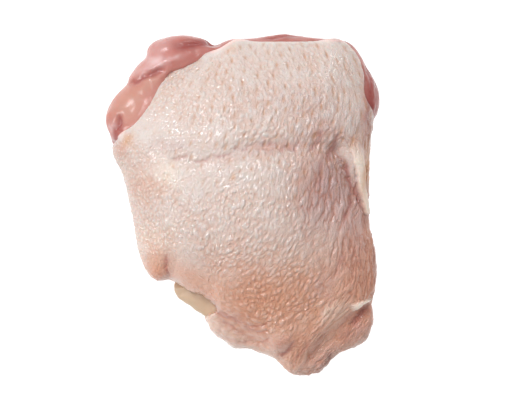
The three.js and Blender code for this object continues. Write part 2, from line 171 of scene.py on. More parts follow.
# How much of that length it has anywhere, and how much is added at the top and at the upper right.
PORE_ANYWHERE, PORE_TOP, PORE_RIGHT = 0.7, 0.6, 0.8
# The pores grow clearer up from the first pair and across from the second, and longer from the third (mm).
CLEARER_UP, CLEARER_ACROSS, LONGER_ACROSS = (-10, 25), (-45, -5), (15, 40)
# How deep and how dark they are where they are least clear, as shares.
LEAST_DEEP, LEAST_DARK = 0.4, 0.35

# Fine streaks in the skin, along three ways that blend into each other (degrees), and their size (mm).
STREAK_WAYS = {"leaning_right": 52, "upright": 80, "leaning_left": 112}
STREAK_LONG, STREAK_WIDE, STREAK_HEIGHT = 1.9, 0.75, 0.62
STREAK_TURN = 32
# Their strength where the skin is smooth; it is 1 where the grain is full.
STREAK_LEAST = 0.35

# ------------------------ lines pressed into or raised on the skin
# A line fades in and out over this share of its length, reaches this many half widths, and wanders a little.
LINE_FADES = 0.3
LINE_REACH = 3
LINE_SHIFTS = [(0.7, 3.0, (21, 22, 23))]
# Each row: half width and height (mm, below nothing for a groove), how reddened it is (red-brown that in a
# groove is partly painted shade), and its pixels.
LINES = [
    # puckers along the crease across the middle
    (0.55, -0.45, 0.6, [(172, 160), (180, 159), (187, 156), (193, 157)]),
    (0.55, -0.50, 0.7, [(190, 160), (197, 162), (206, 160.5), (214, 157)]),
    (0.55, -0.50, 0.6, [(210, 156), (217, 156.5), (223, 157), (234, 152)]),
    (0.6, -0.45, 0.5, [(230, 154), (237, 149.5), (243, 151), (250, 147), (256, 148.5)]),
    (0.7, -0.45, 0.45, [(252, 147), (259, 144), (264, 147), (270, 144.5), (278, 148)]),
    (0.7, -0.5, 0.5, [(274, 146), (280, 150), (286, 147), (292, 150.5), (297, 146), (302, 141)]),
    (1.0, -0.45, 0.7, [(320, 128), (319, 137), (316, 144), (311, 149), (304, 150)]),
    (1.0, -0.45, 0.8, [(346, 131), (338, 137), (334, 146), (330, 153), (326, 160), (326, 168)]),
    # the groove that swings down beside the taut fold
    (0.9, -0.9, 0.9, [(341, 154), (345, 163), (347, 173), (351, 183), (352, 192), (350, 202)]),
    (0.9, -0.7, 0.9, [(352, 190), (351, 200), (348, 210), (344, 220), (340, 228)]),
    (0.7, -1.0, 1.0, [(351.5, 172), (354, 182), (356.5, 192), (360, 203), (363, 213)]),
    (1.2, 0.4, 0.0, [(314, 150), (321, 151), (328, 150.5)]),
    # two of the hollow's deepest wrinkles
    (0.9, -0.4, 0.6, [(322, 158), (319, 168), (320, 178), (314, 190)]),
    (0.9, -0.4, 0.6, [(346, 250), (341, 260), (336, 270), (334, 280)]),
    # the cleft beside the left lobe
    (0.8, -0.4, 0.9, [(166, 250), (166.5, 260), (167.5, 270), (170, 281)]),
    # the doubled hem, with the smooth layer below the pebbled one
    (1.0, -0.5, 0.7, [(214, 309), (223, 316), (235, 320.5), (244, 327)]),
    (0.9, -0.4, 0.6, [(240, 325), (252, 331), (262, 333), (271, 330)]),
    (1.0, -0.25, 0.4, [(214, 320), (226, 326), (238, 331), (248, 337), (259, 339.5), (269, 335)]),
    (0.7, -0.3, 0.6, [(252, 347), (259, 345), (266, 341), (272, 336)]),
    (0.6, -0.45, 0.6, [(216, 316), (224, 323), (234, 330), (246, 336)]),
    (0.6, -0.40, 0.5, [(234, 341), (243, 343), (252, 341), (260, 344)]),
    (0.6, -0.45, 0.6, [(243, 321), (252, 326), (263, 326), (273, 321)]),
    # the bump with the fold below it
    (1.0, -0.5, 0.8, [(274, 355), (281, 354.8), (287, 351), (291, 346), (294, 338)]),
    (2.7, 1.1, 0.0, [(268, 346), (275, 345), (283, 342.5), (289, 339), (294, 335)]),
    # folds running into the knee end
    (1.0, -0.35, 0.5, [(300, 372), (308, 362), (315, 350), (322, 338), (331, 327)]),
    (1.0, -0.30, 0.5, [(290, 366), (298, 358), (306, 348), (312, 338)]),
    # the right flap: a pale ridge, its long fold, the cleft and the lip beyond it
    (1.1, -0.35, 0.4, [(336, 333), (343, 324), (350, 316), (358, 307)]),
    (1.6, -0.9, 1.0, [(371, 303), (367, 308), (362, 314), (356, 321), (350, 329)]),
    (1.2, 0.5, 0.0, [(373, 299), (372, 310), (371, 322), (368, 332)]),
]

# Smooth bands that stand proud, without grain. Each row: half width where it starts and ends, height (mm),
# how pale it is, and its pixels.
BANDS = [
    (3.0, 0.6, 1.5, 1.0, [(353, 141), (357, 156), (360, 172), (361.3, 186), (364, 199), (366.5, 213)]),
    (3.0, 0.4, 0.4, 0.25, [(334, 143), (342, 149), (348.5, 159), (351.5, 171), (354, 186)]),
    (1.9, 0.2, 1.0, 1.0, [(350, 310), (355, 307), (361, 303.5), (367, 300.5), (371, 298.5)]),
]
# A band rises over this share of its length. It is full out to the first number of half widths, ends at the
# second, and isn't looked for past the third.
BAND_STARTS = 0.3
BAND_FULL, BAND_ENDS, BAND_REACH = 0.5, 1.2, 1.6
# It wanders this much as far as a line does, and takes away this share of the grain.
BAND_WANDERS = 0.4
BAND_SMOOTH = 0.9

# The lower outline, where the hem and the knee end are ragged.
HEM = [(212, 326), (232, 336), (256, 343), (274, 352), (284, 362), (300, 375), (314, 376), (326, 365),
       (340, 352)]
# How far from it the raggedness is full and where it ends (mm), and its height, size (mm) and seed.
HEM_FULL, HEM_REACH = 1.0, 3.0
HEM_LUMPS = [(0.45, 2.6, 7)]

# ------------------------ tints on the skin, some of them painted shade and painted highlights
# How ragged a tint's outline is, as noise that shifts it.
TINT_SHIFTS = [(1.2, 4.0, (8, 9))]
# Each row: tint, pixel, half length and half width (mm), way (degrees), strength.
TINTS = [
    ("rosy", 324, 184, 17, 12, 80, 0.8),
    ("rosy", 355, 240, 26, 8, 85, 0.75),
    ("rosy", 372, 270, 24, 5, 90, 1.0),
    ("rosy", 367, 112, 22, 2.4, 88, 1.0),
    ("rosy", 158, 277, 5, 3.5, 0, 0.9),
    ("rosy", 120, 150, 3, 3, 0, 0.5),
    ("rosy", 322, 132, 6, 3, 20, 0.5),
    ("rosy", 225, 160, 8, 2, 10, 0.3),
    ("rosy", 364, 285, 6, 4, 60, 0.8),
    ("rosy", 361, 314, 8, 3.6, 50, 1.0),
    ("rosy", 364, 328, 6, 4, 50, 0.6),
    # With the peach row at 347, 334 and the shade row at 346, 335, this row paints shade into the flap's
    # hollow.
    ("rosy", 347, 334, 6, 4, 45, 0.9),
    ("rosy", 275, 148, 9, 2, 5, 0.4),
    ("rosy", 318, 364, 9, 4, 50, 0.7),
    ("peach", 270, 300, 30, 16, 0, 0.95),
    ("peach", 360, 290, 14, 8, 80, 0.7),
    ("peach", 371, 250, 18, 3, 90, 0.7),
    ("peach", 300, 350, 14, 8, 50, 0.9),
    ("peach", 345, 325, 14, 10, 40, 0.8),
    ("peach", 255, 335, 20, 6, 150, 0.5),
    ("peach", 192, 280, 13, 6, 150, 0.7),
    ("peach", 155, 268, 8, 6, 60, 0.95),
    ("peach", 347, 334, 6, 4, 45, 0.6),
    ("peach", 330, 270, 14, 10, 60, 0.4),
    ("peach", 145, 185, 6, 6, 90, 0.3),
    ("lilac", 282, 342, 3.4, 2.2, 30, 0.1),
    ("rosy", 283, 344, 4.4, 2.8, 30, 0.9),
    # This lilac row is painted purple-grey shade along the fat's upper edge, under the skin's hem.
    ("lilac", 216, 307, 4, 1.6, 135, 0.8),
    ("lilac", 240, 318, 5, 2, 150, 0.5),
    ("lilac", 172, 146, 7, 3, 170, 0.4),
    ("lilac", 300, 112, 20, 12, 0, 0.3),
    ("lilac", 320, 285, 6, 4, 50, 0.5),
    ("lilac", 332, 188, 13, 9, 80, 0.6),
    ("lilac", 270, 149, 12, 2.6, 5, 0.5),
    ("lilac", 355, 330, 5, 4, 40, 0.5),
    # These rows are painted shade: dark shade in the knee notch, under the bump, along the skin's top and
    # right edges, under the fleck and in the flap's hollow.
    ("painted_shade", 328, 360, 4.0, 0.6, 55, 0.7),
    ("painted_shade", 286, 352.5, 3.0, 0.8, 40, 0.6),
    ("painted_shade", 340, 39.6, 5.0, 0.4, 176, 0.9),
    ("painted_shade", 368.5, 110, 14, 0.9, 88, 0.5),
    ("painted_shade", 362, 313, 4.4, 1.8, 52, 0.5),
    ("painted_shade", 375, 258, 16, 1.0, 92, 0.35),
    ("painted_shade", 346, 335, 4.5, 2.6, 45, 0.35),
    ("painted_shade", 284, 344, 3.4, 2.4, 30, 0.2),
    ("tan", 128.7, 140, 3.0, 1.7, 50, 0.9),
    ("tan", 233, 178, 1.5, 0.8, 60, 0.9),
    ("tan", 174.6, 167, 0.9, 0.7, 90, 0.7),
    ("tan", 232, 49, 3, 2, 0, 0.35),
    ("tan", 366.6, 168, 10, 1.6, 86, 1.0),
    ("tan", 355, 143, 3, 2, 60, 0.4),
    ("pale", 168, 175, 6, 5, 90, 0.5),
    ("pale", 150, 240, 6, 9, 90, 0.4),
    ("pale", 238, 332, 12, 3, 150, 0.15),
    # These two pale rows are painted highlights: light painted where the flap glints, and over the shade of
    # its valley.
    ("pale", 328, 312, 4.5, 2, 45, 0.5),
    ("pale", 341, 313, 6, 3, 45, 0.35),
    ("pale", 212, 322, 4, 3, 150, 0.3),
]

# The cut edge of the skin along the broad end, where a band of it is smooth.
CUT_EDGE = [(119, 136), (132, 118), (145, 102), (155, 90), (166, 70), (184, 62), (207, 52), (213, 52),
            (228, 44), (238, 40), (270, 39.5), (300, 38), (330, 40), (352, 41)]
CUT_BAND = 2.6
# Where the band's grain starts, as a share of it, and how wide the flushed rim at the cut is (mm).
CUT_SMOOTH = 0.3
RIM_WIDE = 0.9


def place(pixel):
    """A pixel of the photograph as a plan place on the thigh, in mm."""
    return ((pixel[0] - MIDDLE_PIXEL[0]) * PIXEL, (MIDDLE_PIXEL[1] - pixel[1]) * PIXEL)


# ------------------------ meshes
def alone(piece):
    """Leaves only this piece selected, and active."""
    bpy.ops.object.select_all(action="DESELECT")
    piece.select_set(True)
    bpy.context.view_layer.objects.active = piece


def copy_of(node, name):
    """A new piece with the solid's mesh, its loose triangles joined."""
    piece = bpy.data.objects.new(name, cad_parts[node].data.copy())
    bpy.context.scene.collection.objects.link(piece)
    piece.data.materials.clear()
    alone(piece)
    bpy.ops.object.mode_set(mode="EDIT")
    bpy.ops.mesh.select_all(action="SELECT")
    bpy.ops.mesh.remove_doubles(threshold=1e-6)
    bpy.ops.object.mode_set(mode="OBJECT")
    return piece


def apply(piece, kind, **settings):
    """Adds a modifier with these settings and applies it."""
    alone(piece)
    modifier = piece.modifiers.new(kind, kind)
    for name, value in settings.items():
        setattr(modifier, name, value)
    bpy.ops.object.modifier_apply(modifier=modifier.name)


def remesh(piece, voxel):
    """Makes the piece one even closed mesh, with voxels this wide (mm)."""
    apply(piece, "REMESH", mode="VOXEL", voxel_size=voxel * MM, adaptivity=0.0)


def group(piece, name, share):
    """A vertex group holding each vertex by its share, in tenths."""
    made = piece.vertex_groups.new(name=name)
    tenths = np.clip(np.round(np.asarray(share, float) * 10), 0, 10).astype(int)
    for tenth in range(1, 11):
        made.add(np.flatnonzero(tenths == tenth).tolist(), tenth / 10, "REPLACE")
    return made.name


def places_of(piece):
    """The piece's vertices, in mm."""
    flat = np.empty(len(piece.data.vertices) * 3, np.float32)
    piece.data.vertices.foreach_get("co", flat)
    return flat.reshape(-1, 3).astype(float) / MM


def put_places(piece, places):
    """Moves the piece's vertices to these places, in mm."""
    piece.data.vertices.foreach_set("co", (places * MM).astype(np.float32).ravel())
    piece.data.update()


def above_floor(places):
    """The places, with none nearer to the floor than FLOOR_GAP."""
    made = places.copy()
    made[:, 2] = np.maximum(made[:, 2], FLOOR_GAP)
    return made


def normals_of(piece):
    """The piece's vertex normals."""
    flat = np.empty(len(piece.data.vertices) * 3, np.float32)
    piece.data.vertex_normals.foreach_get("vector", flat)
    return flat.reshape(-1, 3).astype(float)


def paint(piece, name, values):
    """Stores one number for each vertex, which the materials read by name."""
    made = piece.data.attributes.new(name, "FLOAT", "POINT")
    made.data.foreach_set("value", np.asarray(values, np.float32))


def unit(vectors):
    """The vectors at length 1."""
    return vectors / np.maximum(np.linalg.norm(vectors, axis=1, keepdims=True), 1e-9)


# How much of its own value a vertex keeps each time that values are averaged.
OWN_SHARE = 0.4


def smoothed(piece, values, rounds):
    """Values at the vertices, each averaged with its neighbours' a few times over."""
    edges = np.empty(len(piece.data.edges) * 2, np.int32)
    piece.data.edges.foreach_get("vertices", edges)
    a, b = edges.reshape(-1, 2).T
    count = np.bincount(a, minlength=len(values)) + np.bincount(b, minlength=len(values))
    for _ in range(rounds):
        total = np.stack([np.bincount(a, v[b], len(values)) + np.bincount(b, v[a], len(values))
                          for v in values.T], 1)
        values = OWN_SHARE * values + (1 - OWN_SHARE) * total / np.maximum(count, 1)[:, None]
    return unit(values)


def soft_step(low, high, values):
    """0 up to low, 1 from high on, and a smooth rise between them."""
    t = np.clip((values - low) / (high - low), 0, 1)
    return t * t * (3 - 2 * t)


def at_least(least, share):
    """A share that starts at least and not at 0."""
    return least + (1 - least) * share


# Noise: how soon its finer layers fade, how much finer each is than the last, and how many there are.
NOISE = (1.0, 2.0, 2)
WRINKLE_NOISE = (1.2, 2.1, 2)
# How far apart in the noise two seeds are.
SEED_STEPS = (7.1, 3.7, 5.3)


def wobble(places, size, seed):
    """Smooth noise between about -1 and 1 whose lumps are size mm across."""
    shift = Vector([seed * step for step in SEED_STEPS])
    return np.array([noise.fractal(Vector(p) / size + shift, *NOISE) for p in places.tolist()])


def lumps(places, layers):
    """Layers of noise: height, size of the lumps (mm) and seed."""
    return sum(height * wobble(places, size, seed) for height, size, seed in layers)


def shifts(places, layers):
    """Layers of noise that shift places: how far, its size (mm) and a seed for each direction."""
    return sum(far * np.stack([wobble(places, size, seed) for seed in seeds], 1)
               for far, size, seeds in layers)


def tree_of(places):
    """The places, ready to be searched for near ones."""
    tree = KDTree(len(places))
    for index, spot in enumerate(places.tolist()):
        tree.insert(spot, index)
    tree.balance()
    return tree


def surface_of(node):
    """A solid's faces, ready to be searched."""
    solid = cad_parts[node].data
    return BVHTree.FromPolygons([v.co for v in solid.vertices], [p.vertices for p in solid.polygons])


def gap_to(surface, places):
    """How far each place is from a surface, in mm."""
    return np.array([surface.find_nearest(Vector(p) * MM)[3] for p in places.tolist()]) / MM


PATH_STEP = 0.5


def smooth_path(points):
    """Plan places along a curve through the points, about PATH_STEP mm apart."""
    knots = np.array([points[0]] + list(points) + [points[-1]], float)
    made = []
    for a, b, c, d in zip(knots, knots[1:], knots[2:], knots[3:]):
        count = max(2, int(np.linalg.norm(c - b) / PATH_STEP))
        t = np.linspace(0, 1, count, endpoint=False)[:, None]
        made.append(0.5 * (2 * b + (c - a) * t + (2 * a - 5 * b + 4 * c - d) * t**2
                           + (3 * b - a - 3 * c + d) * t**3))
    made.append(knots[-1][None])
    return np.concatenate(made)


def from_path(places, points, reach):
    """Which places lie within reach of the path in plan, how far off each is and how far along it, 0 to 1."""
    path = smooth_path([place(p) for p in points])
    low, high = path.min(0) - reach, path.max(0) + reach
    close = np.flatnonzero(((places[:, :2] > low) & (places[:, :2] < high)).all(1))
    distances = np.linalg.norm(places[close, None, :2] - path[None], axis=2)
    nearest = distances.argmin(1)
    off = distances[np.arange(len(close)), nearest]
    kept = off < reach
    return close[kept], off[kept], nearest[kept] / (len(path) - 1)


def from_spot(places, pixel):
    """How far each place is in plan from a pixel's, in mm."""
    return np.linalg.norm(places[:, :2] - np.array(place(pixel)), axis=1)


def press(rows, wavy, fades, shown, relief, reddened_and_shaded):
    """Adds the rows' lines to the relief, as far as each place is shown, and marks them with the painted
    red-brown and shade of their grooves.
    """
    for half, height, red_and_shade, points in rows:
        index, off, along = from_path(wavy, points, LINE_REACH * half)
        share = np.exp(-((off / half) ** 2)) * soft_step(0, fades, along) * soft_step(0, fades, 1 - along)
        relief[index] += height * share * shown[index]
        reddened_and_shaded[index] = np.maximum(reddened_and_shaded[index], red_and_shade * share)


# How wide a pull is, as a share of its reach.
PULL_WIDE = 0.6


def pulled(places, pulls):
    """The places after each pull has moved those within its reach."""
    made = places.copy()
    for px, py, reach, right, down in pulls:
        share = np.exp(-((from_spot(made, (px, py)) / (PULL_WIDE * reach)) ** 2))[:, None]
        made[:, :2] += share * np.array([right, -down]) * PIXEL
    return made


def tinted(piece, places, rows):
    """Paints soft ragged patches, one attribute for each tint."""
    ragged = places[:, :2] + shifts(places, TINT_SHIFTS)
    for tint in dict.fromkeys(row[0] for row in rows):
        bare = np.ones(len(places))
        for _, px, py, long, wide, way, strength in (row for row in rows if row[0] == tint):
            offset = ragged - np.array(place((px, py)))
            turn = math.radians(way)
            a = offset @ np.array([math.cos(turn), math.sin(turn)]) / long
            b = offset @ np.array([-math.sin(turn), math.cos(turn)]) / wide
            bare *= 1 - strength * np.exp(-(a * a + b * b))
        paint(piece, tint, 1 - bare)


# ------------------------ grain
# A slight rise, so that the grain still has a way where the skin stands upright across it.
ALMOST_FLAT = 1e-3


class Grain:
    """The skin's grain at every vertex: frames along and across it, cell sizes and height."""

    def __init__(self, places, normals):
        rows = np.array(GRAIN, float)
        spots = np.array([place(r[:2]) for r in rows])
        far = ((places[:, None, :2] - spots[None]) ** 2).sum(2)
        share = 1 / (far + GRAIN_REACH**2) ** 2
        share /= share.sum(1, keepdims=True)
        double = np.radians(rows[:, 2]) * 2
        pull = share * (rows[:, 3] - ROUND_CELL)
        angle = np.arctan2(pull @ np.sin(double), pull @ np.cos(double)) / 2
        self.angle = angle
        self.stretch = share @ rows[:, 3]
        self.width = share @ rows[:, 4]
        self.height = share @ rows[:, 5]
        flat = np.stack([np.cos(angle), np.sin(angle), np.full_like(angle, ALMOST_FLAT)], 1)
        self.along = unit(flat - (flat * normals).sum(1, keepdims=True) * normals)
        self.across = unit(np.cross(normals, self.along))
        self.normals = normals
        self.places = places


def apart(grain, spot, others, size):
    """How far the other vertices are from a spot, counted in cells along and across the grain."""
    offset = grain.places[others] - grain.places[spot]
    wide = grain.width[spot] * size
    long = wide * grain.stretch[spot]
    return np.sqrt((offset @ grain.along[spot] / long) ** 2 + (offset @ grain.across[spot] / wide) ** 2
                   + (offset @ grain.normals[spot] / wide) ** 2)


def near(tree, grain, spot, size, cells):
    """The vertices within so many cells' lengths of a spot."""
    reach = grain.width[spot] * grain.stretch[spot] * size * cells
    return np.array([index for _, index, _ in tree.find_range(grain.places[spot], reach)])


def scattered(tree, grain, size, spacing, draw, allowed):
    """Vertices in a random order, leaving out each that is too near one before it."""
    taken = ~allowed
    spots = []
    for spot in draw.permutation(np.flatnonzero(allowed)).tolist():
        if taken[spot]:
            continue
        spots.append(spot)
        others = near(tree, grain, spot, size, spacing)
        taken[others[apart(grain, spot, others, size) < spacing * draw.uniform(*SPACING_VARIES)]] = True
    return spots


def wrinkles(places, way, seed):
    """How far each place is from the creases between long wavy ridges that run one way, 0 in a crease."""
    turn = math.radians(way)
    along = places[:, 0] * math.cos(turn) + places[:, 1] * math.sin(turn)
    across = places[:, 1] * math.cos(turn) - places[:, 0] * math.sin(turn)
    heights = [noise.fractal(Vector((a / WRINKLE_LONG, b / WRINKLE_WIDE, seed)), *WRINKLE_NOISE)
               for a, b in zip(along.tolist(), across.tolist())]
    return np.abs(np.array(heights))


def pebbles(tree, grain, size, draw, allowed):
    """Rounded bumps packed along the grain, no two alike, from 0 between them to 1 on the tallest."""
    raised = np.zeros(len(grain.places))
    for spot in scattered(tree, grain, size, PEBBLE_SPACING, draw, allowed):
        others = near(tree, grain, spot, size, PEBBLE_REACH)
        offset = grain.places[others] - grain.places[spot]
        turn = draw.normal(0, PEBBLE_TURN)
        along = offset @ grain.along[spot]
        across = offset @ grain.across[spot]
        wide = grain.width[spot] * size * draw.uniform(*PEBBLE_WIDE)
        long = wide * grain.stretch[spot] * draw.uniform(*PEBBLE_LONG)
        a = (along * math.cos(turn) + across * math.sin(turn)) / long
        b = (across * math.cos(turn) - along * math.sin(turn)) / wide
        off = a * a + b * b + (offset @ grain.normals[spot] / (grain.width[spot] * size)) ** 2
        bump = draw.uniform(*PEBBLE_TALL) * np.exp(-off)
        raised[others] = np.maximum(raised[others], bump)
    return raised


# ------------------------ the skin
# The voxels that the skin is made an even mesh with (mm).
SKIN_VOXEL = 0.40
# The skin's outer side is told from its inner one by how far it is from the meat (mm).
OUTER_FROM, OUTER_TO = 0.9, 1.6
# Rounds of smoothing for the outer side, and of averaging for its normals.
OUTER_ROUNDS = 10
NORMAL_ROUNDS = 6
# What faces down further than the first of these is hidden, and what faces up from the second isn't.
HIDDEN_FROM, HIDDEN_TO = -0.75, -0.35
# How strongly the hidden part is thinned.
SKIN_HIDDEN_SHARE = 0.66
# The share of its faces that the finished skin keeps, thinned where it is flattest.
SKIN_KEPT = 0.70

# Small pulls in plan that bring the edges to place: pixel, reach (mm) and how many pixels right and down.
SKIN_PULLS = [
    (213, 308, 5.0, 5, 5),
    (212, 319, 5.0, 0, 4),
    (236, 41, 8.0, 0, -4.5),
    (336, 42, 9.0, 0, -4.0),
    (370, 92, 9.0, -4, 0),
    (213, 323, 7.5, -10, -7),
    (192, 291, 6.0, -1.0, 3.0),
    (209, 300, 5.0, 1.0, 4.0),
    (161, 277, 6.0, -0.5, 2.5),
    (214, 332, 7.0, -3.5, 3.0),
    (236, 346, 7.0, -3.5, 5.0),
    (222, 338, 6.0, -2.0, 2.0),
]
# The same for the fat.
FAT_PULLS = [
    (212, 322, 9.0, 2, -6),
    (213, 311, 6.0, 5, 3),
    (186, 302, 7.0, 1.5, -2.5),
    (190, 287, 6.0, 2.0, -3.0),
    (205, 298, 6.0, 2.5, -3.0),
    (183, 297, 7.0, -6.0, 3.5),
    (179, 288, 5.0, -2.0, 1.0),
]
# Places whose solid steps are smoothed away first: pixel and reach (mm), and how many rounds.
CALMED = [
    ([(185, 160, 14), (215, 160, 9), (217, 300, 8)], 120),
    ([(165, 248, 7), (166, 263, 6)], 60),
    ([(209, 318, 5), (283, 342, 5)], 30),
    ([(338, 144, 5)], 60),
    ([(225, 157, 7), (243, 151, 7), (262, 146, 7), (283, 147, 6)], 50),
]
# They are smoothed in full out to this share of their reach.
CALMED_FULL = 0.4


def outer_share(meat, places):
    """1 on the skin's outer side and 0 on its inner one."""
    return soft_step(OUTER_FROM, OUTER_TO, gap_to(meat, places))


def skin_body(meat):
    """The skin as an even mesh: its edges pulled to place, its steps smoothed and its hidden part thinned."""
    piece = copy_of("skin", "thigh_skin")
    apply(piece, "SUBSURF", levels=2, render_levels=2)
    remesh(piece, SKIN_VOXEL)
    outer = outer_share(meat, places_of(piece))
    apply(piece, "SMOOTH", factor=0.5, iterations=OUTER_ROUNDS, vertex_group=group(piece, "outer", outer))
    put_places(piece, pulled(places_of(piece), SKIN_PULLS))
    for calmed, rounds in CALMED:
        places = places_of(piece)
        share = np.zeros(len(places))
        for px, py, reach in calmed:
            off = from_spot(places, (px, py))
            share = np.maximum(share, 1 - soft_step(CALMED_FULL * reach, reach, off))
        calm = group(piece, "calmed", share * outer)
        apply(piece, "SMOOTH", factor=0.5, iterations=rounds, vertex_group=calm)
    hidden = 1 - outer * soft_step(HIDDEN_FROM, HIDDEN_TO, normals_of(piece)[:, 2])
    apply(piece, "DECIMATE", ratio=1 - SKIN_HIDDEN_SHARE * hidden.mean() ** 0.5,
          vertex_group=group(piece, "hidden", hidden))
    return piece


def bands(places, wavy):
    """How fully each place is on a smooth band, how far that raises it (mm) and how pale it makes it."""
    on, raised, pale = np.zeros((3, len(places)))
    for start, end, height, paleness, points in BANDS:
        reach = BAND_REACH * max(start, end)
        index, off, along = from_path(places + BAND_WANDERS * (wavy - places), points, reach)
        half = start + (end - start) * along
        share = 1 - soft_step(BAND_FULL * half, BAND_ENDS * half, off)
        share = share * soft_step(0, BAND_STARTS, along)
        on[index] = np.maximum(on[index], share)
        raised[index] = np.maximum(raised[index], height * share)
        pale[index] = np.maximum(pale[index], paleness * share)
    return on, raised, pale


def grained(places, normals, grain, rough, allowed, draw):
    """How far the grain raises each place (mm), how deep in its valleys it is and how red its creases are."""
    long = soft_step(LONG_FROM, LONG_TO, grain.stretch)
    grain.stretch = np.minimum(grain.stretch, BEAD_STRETCH)
    tree = tree_of(grain.places)
    coarse = pebbles(tree, grain, 1.0, draw, allowed)
    fine = pebbles(tree, grain, FINE_SIZE, draw, allowed)
    patchy = 1 + lumps(places, GRAIN_PATCHES)
    tall = grain.height * rough * patchy

    # the wrinkles keep their width where the skin turns down at its sides
    unrolled = places[:, :2] + normals[:, :2] * (cad_high[2] / MM - places[:, 2])[:, None]
    unrolled += shifts(places, WRINKLE_SHIFTS)
    leaning, upright = (wrinkles(unrolled, way, seed) for way, seed in zip(WRINKLE_WAYS, WRINKLE_SEEDS))
    turned = soft_step(WRINKLE_WAYS[0] + WRINKLE_BLEND, WRINKLE_WAYS[1] - WRINKLE_BLEND,
                       np.degrees(grain.angle) % 180)
    far = leaning + (upright - leaning) * turned
    ridge, crease = 1 - np.exp(-far / WRINKLE_ROUND), np.exp(-far / WRINKLE_CREASE)

    relief = tall * ((1 - COARSE_LOST * long) * (COARSE_RISE * coarse - COARSE_SUNK)
                     + (1 - FINE_LOST * long) * (FINE_RISE * fine - FINE_SUNK)
                     + long * (RIDGE_RISE * ridge - RIDGE_SUNK))
    relief += lumps(places, SKIN_LUMPS)
    # The valleys and the creases are given a darker tan and a red-brown in the colour: partly the skin's own,
    # partly painted shade.
    between = (1 - soft_step(*VALLEY_BEADS, coarse)) * soft_step(*VALLEY_GRAIN, tall)
    valley = between * (1 - VALLEY_LOST * long) + CREASE_VALLEY * long * crease
    red = CREASE_RED * long * crease * soft_step(*CREASE_GRAIN, tall)
    return relief, valley, red


def feather_pores(places, normals, upper, allowed, draw):
    """Small long dimples, evenly spaced and longest at the upper right: 0 between them, 1 in the deepest."""
    grain = Grain(places, normals)
    grain.width = np.full(len(places), 1.0)
    grain.stretch = np.full(len(places), 1.0)
    pores = np.zeros(len(places))
    tree = tree_of(places)
    right = upper * soft_step(*LONGER_ACROSS, places[:, 0])
    for spot in scattered(tree, grain, 1.0, PORE_SPACING, draw, allowed):
        others = np.array([i for _, i, _ in tree.find_range(places[spot], PORE_REACH)])
        offset = places[others] - places[spot]
        long = draw.uniform(*PORE_LONG) * (PORE_ANYWHERE + PORE_TOP * upper[spot] + PORE_RIGHT * right[spot])
        wide = draw.uniform(*PORE_WIDE)
        a = offset @ grain.along[spot] / long
        b = offset @ grain.across[spot] / wide
        share = np.exp(-(a * a + b * b))
        pores[others] = np.maximum(pores[others], share * draw.uniform(*PORE_DEEP))
    return pores


def skin_piece():
    """The skin, with its grain, bands, lines and pores in the mesh itself."""
    meat = surface_of("meat")
    piece = skin_body(meat)
    places = places_of(piece)
    normals = smoothed(piece, normals_of(piece), NORMAL_ROUNDS)
    outer = outer_share(meat, places)
    allowed = outer > 0.5
    draw = np.random.default_rng(DRAW_SEED)
    grain = Grain(places + shifts(places, GRAIN_SHIFTS), normals)

    edge = np.full(len(places), CUT_BAND)
    index, off, _ = from_path(places, CUT_EDGE, CUT_BAND)
    edge[index] = off
    wavy = places + shifts(places, LINE_SHIFTS)
    band, raised, pale = bands(places, wavy)
    rough = soft_step(CUT_SMOOTH * CUT_BAND, CUT_BAND, edge) * (1 - BAND_SMOOTH * band)

    relief, valley, red = grained(places, normals, grain, rough, allowed, draw)
    relief += raised
    index, off, _ = from_path(places, HEM, HEM_REACH)
    relief[index] += lumps(places[index], HEM_LUMPS) * (1 - soft_step(HEM_FULL, HEM_REACH, off))
    press(LINES, wavy, LINE_FADES, np.ones(len(places)), relief, red)
    upper = soft_step(*CLEARER_UP, places[:, 1]) * soft_step(*CLEARER_ACROSS, places[:, 0])
    pores = feather_pores(places, normals, upper, allowed, draw)
    relief -= PORE_DEPTH * pores * at_least(LEAST_DEEP, upper) * rough

    places = above_floor(places + normals * (relief * outer)[:, None])
    put_places(piece, places)
    tinted(piece, places, TINTS)
    for name, way in STREAK_WAYS.items():
        turned = np.abs((np.degrees(grain.angle) - way + 90) % 180 - 90)
        paint(piece, name, (1 - soft_step(0, STREAK_TURN, turned)) * at_least(STREAK_LEAST, rough))
    paint(piece, "valley", valley)
    paint(piece, "reddened", red * (1 - pale))
    paint(piece, "bright", pale)
    paint(piece, "pore", pores * rough * at_least(LEAST_DARK, upper))
    paint(piece, "rim", 1 - soft_step(0.0, RIM_WIDE, edge))
    apply(piece, "DECIMATE", ratio=SKIN_KEPT)
    return piece


# ------------------------ the meat and the fat
# The voxels that the meat and the fat are made even meshes with (mm).
MEAT_VOXEL = 0.55
FAT_VOXEL = 0.45
# Relief grows over these heights above the floor (mm).
OFF_FLOOR = (0.1, 1.5)

# A plan grid over the broad end: its lower left corner (mm), squares each way and their size (mm).
GRID_CORNER = np.array([-58.0, 8.0])
GRID_SQUARES = (240, 130)
GRID_STEP = 0.5
# Heights (mm) below and above anything on the grid.
BELOW_ALL, ABOVE_ALL = -99.0, 99.0

# Hollows up to twice FILL_REACH squares wide are filled, to FILL_BELOW mm below their smoothed rims.
FILL_REACH = 13
FILL_ROUNDS = 6
FILL_BELOW = 0.2
# How far in under the cut edge the meat is still raised, and how far below the skin's top (mm).
TUCKED, TUCKED_BELOW = 2.2, 0.9
# Where a look upwards for the skin starts, above the meat (mm).
LOOK_FROM = Vector((0, 0, 0.1))
UP = Vector((0, 0, 1))

# The meat is smoothed over these distances from the skin (mm), for so many rounds, and the rest is thinned.
MEAT_SMOOTHED = (0.5, 2.0)
MEAT_ROUNDS = 45
MEAT_KEPT = 0.55
# Its relief grows over these distances from the skin (mm). Its unevenness, and how its lines wander and fade.
MEAT_SHOWN = (0.8, 2.5)
MEAT_LUMPS = [(0.25, 6.0, 31), (0.03, 2.0, 32)]
MEAT_SHIFTS = [(0.5, 3.0, (33, 34, 35))]
MEAT_LINE_FADES = 0.25
